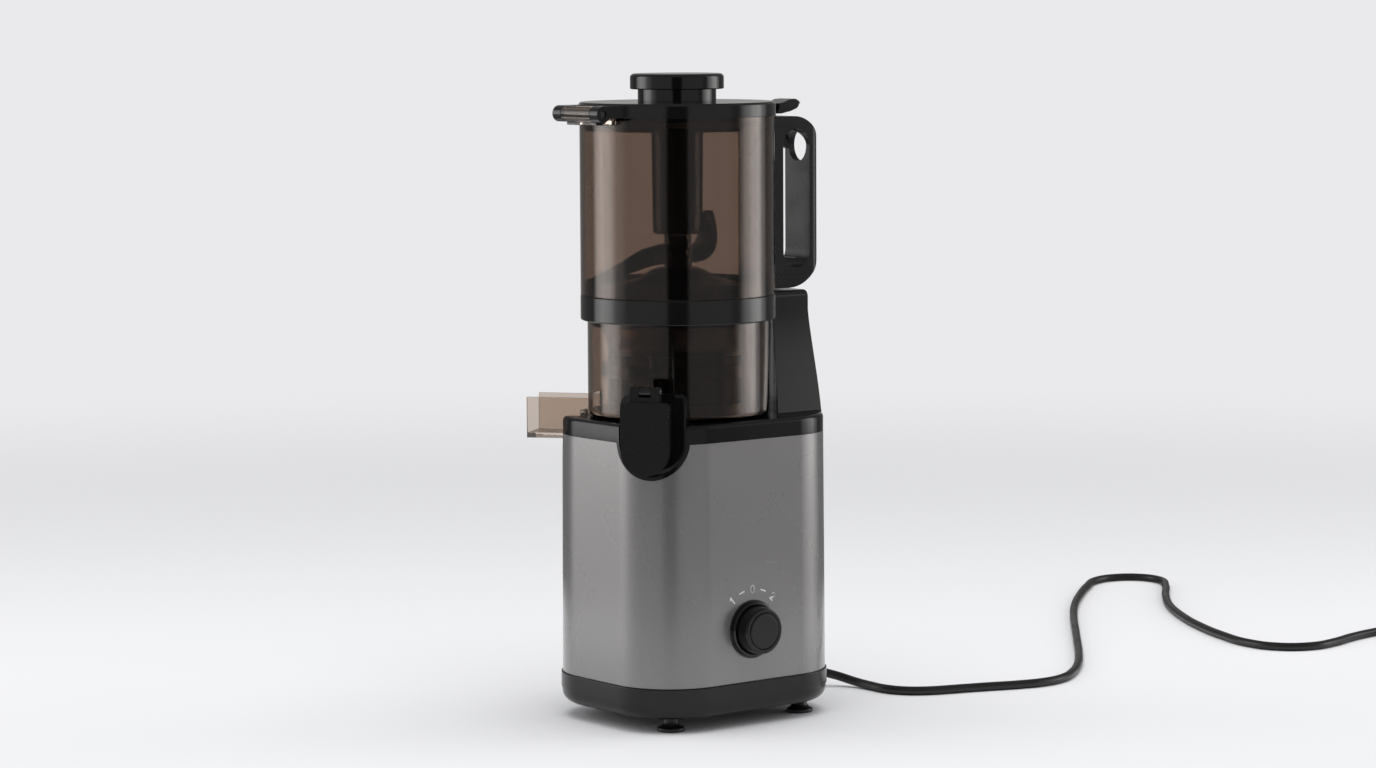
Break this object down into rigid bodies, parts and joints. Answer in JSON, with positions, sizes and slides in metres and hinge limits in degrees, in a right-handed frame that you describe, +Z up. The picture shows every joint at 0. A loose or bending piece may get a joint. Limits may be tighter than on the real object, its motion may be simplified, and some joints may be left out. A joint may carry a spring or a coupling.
{
  "type": "electric juicer",
  "caption": "Upright slow juicer: motor base with dial, clear bowl with flap spout and pulp trough, turning auger, wide hinged-lid hopper with pusher, handle and mains lead.",
  "frame": {"origin": "middle of the appliance's bounding box at table height, the free lead left out", "axes": "+Z up; -Y towards the lid's hinge at the front; +X towards the dial"},
  "size_m": [0.4819, 0.8541, 0.462],
  "materials": {
    "grey_housing": "satin",
    "black_plastic": "semi-gloss",
    "dark_trim": "satin",
    "smoky_clear": "clear smoky",
    "amber_clear": "clear smoky brown",
    "rubber": "matt",
    "seal_rubber": "matt",
    "steel": "brushed",
    "brass": "plain",
    "copper_wire": "lacquered",
    "cast_aluminium": "cast",
    "pale_plastic": "satin",
    "board_green": "lacquered",
    "switch_blue": "satin"
  },
  "bodies": {
    "base": {"motor_housing": "grey_housing", "top_collar": "black_plastic", "rear_post": "black_plastic", "base_band": "black_plastic", "bottom_cover": "black_plastic", "rubber_feet": "rubber", "cover_screws": "steel", "dial_bezel": "black_plastic", "rotary_switch": "switch_blue", "motor_stator": "steel", "motor_windings": "copper_wire", "motor_end_bracket": "cast_aluminium", "motor_bearings": "brass", "gearbox_case": "cast_aluminium", "gearbox_cover": "cast_aluminium", "gearbox_screws": "steel", "lay_pin": "steel", "drive_bearings": "brass", "shaft_seal": "seal_rubber", "control_board": "board_green", "reed_switch": "pale_plastic", "strain_relief": "rubber", "mains_lead": "rubber", "lead_coil": "rubber", "plug_body": "rubber", "plug_pins": "brass"},
    "dial": {"dial_knob": "black_plastic", "dial_cap": "dark_trim", "switch_spindle": "steel"},
    "rotor": {"motor_rotor": "steel", "cooling_fan": "pale_plastic"},
    "lay": {"lay_gear": "pale_plastic"},
    "drive": {"output_gear": "pale_plastic", "drive_shaft": "steel"},
    "bowl": {"juice_bowl": "smoky_clear", "bowl_seal": "seal_rubber", "spout_housing": "black_plastic", "flap_pin": "steel", "pulp_trough": "amber_clear", "strainer_basket": "black_plastic", "strainer_screen": "steel", "strainer_rim": "amber_clear", "feed_floor": "black_plastic"},
    "flap": {"spout_flap": "black_plastic", "flap_seal": "seal_rubber"},
    "auger": {"auger": "black_plastic", "auger_arm": "black_plastic"},
    "hopper": {"lock_ring": "black_plastic", "hopper_shell": "smoky_clear", "hopper_handle": "black_plastic", "grip_cover": "dark_trim", "handle_screws": "steel", "interlock_magnet": "steel", "lever_pin": "steel"},
    "lid": {"lid": "black_plastic", "lid_gasket": "seal_rubber", "hinge_pin": "steel"},
    "lever": {"latch_lever": "black_plastic"},
    "pusher": {"pusher_rod": "black_plastic", "pusher_cap": "black_plastic"}
  },
  "joints": [
    {"name": "mode_dial", "type": "hinge", "parent": "base", "child": "dial", "pos_m": [0.0851, -0.00967, 0.07], "axis": [1, 0, 0], "range_deg": [-45, 45]},
    {"name": "rotor_spin", "type": "hinge", "parent": "base", "child": "rotor", "pos_m": [0.0051, -0.01868, 0.08], "axis": [0, 0, 1], "continuous": true},
    {"name": "lay_spin", "type": "hinge", "parent": "base", "child": "lay", "pos_m": [0.0051, 0.02332, 0.145], "axis": [0, 0, 1], "continuous": true},
    {"name": "drive_spin", "type": "hinge", "parent": "base", "child": "drive", "pos_m": [0.0051, -0.01868, 0.15], "axis": [0, 0, 1], "continuous": true},
    {"name": "bowl_lift", "type": "slide", "parent": "base", "child": "bowl", "axis": [0, 0, 1], "range_m": [0, 0.12]},
    {"name": "spout_flap_swing", "type": "hinge", "parent": "bowl", "child": "flap", "pos_m": [0.06297, -0.09275, 0.2435], "axis": [-0.788, -0.6157, 0], "range_deg": [0, 110]},
    {"name": "auger_spin", "type": "hinge", "parent": "bowl", "child": "auger", "pos_m": [0.0051, -0.01868, 0.27], "axis": [0, 0, 1], "continuous": true},
    {"name": "hopper_lift", "type": "slide", "parent": "bowl", "child": "hopper", "axis": [0, 0, 1], "range_m": [0, 0.15]},
    {"name": "lid_swing", "type": "hinge", "parent": "hopper", "child": "lid", "pos_m": [0.0051, -0.10387, 0.435], "axis": [1, 0, 0], "range_deg": [0, 105]},
    {"name": "latch_press", "type": "hinge", "parent": "hopper", "child": "lever", "pos_m": [0.0051, 0.06333, 0.4334], "axis": [-1, 0, 0], "range_deg": [0, 10], "stiffness_Nm_per_rad": 0.02, "springref_deg": -10.03},
    {"name": "pusher_slide", "type": "slide", "parent": "lid", "child": "pusher", "axis": [0, 0, 1], "range_m": [0, 0.095]}
  ],
  "couplings": [
    {"joint": "auger_spin", "follows": "drive_spin", "ratio": 1},
    {"joint": "lay_spin", "follows": "drive_spin", "ratio": -3.6667},
    {"joint": "rotor_spin", "follows": "drive_spin", "ratio": 18.333}
  ]
}
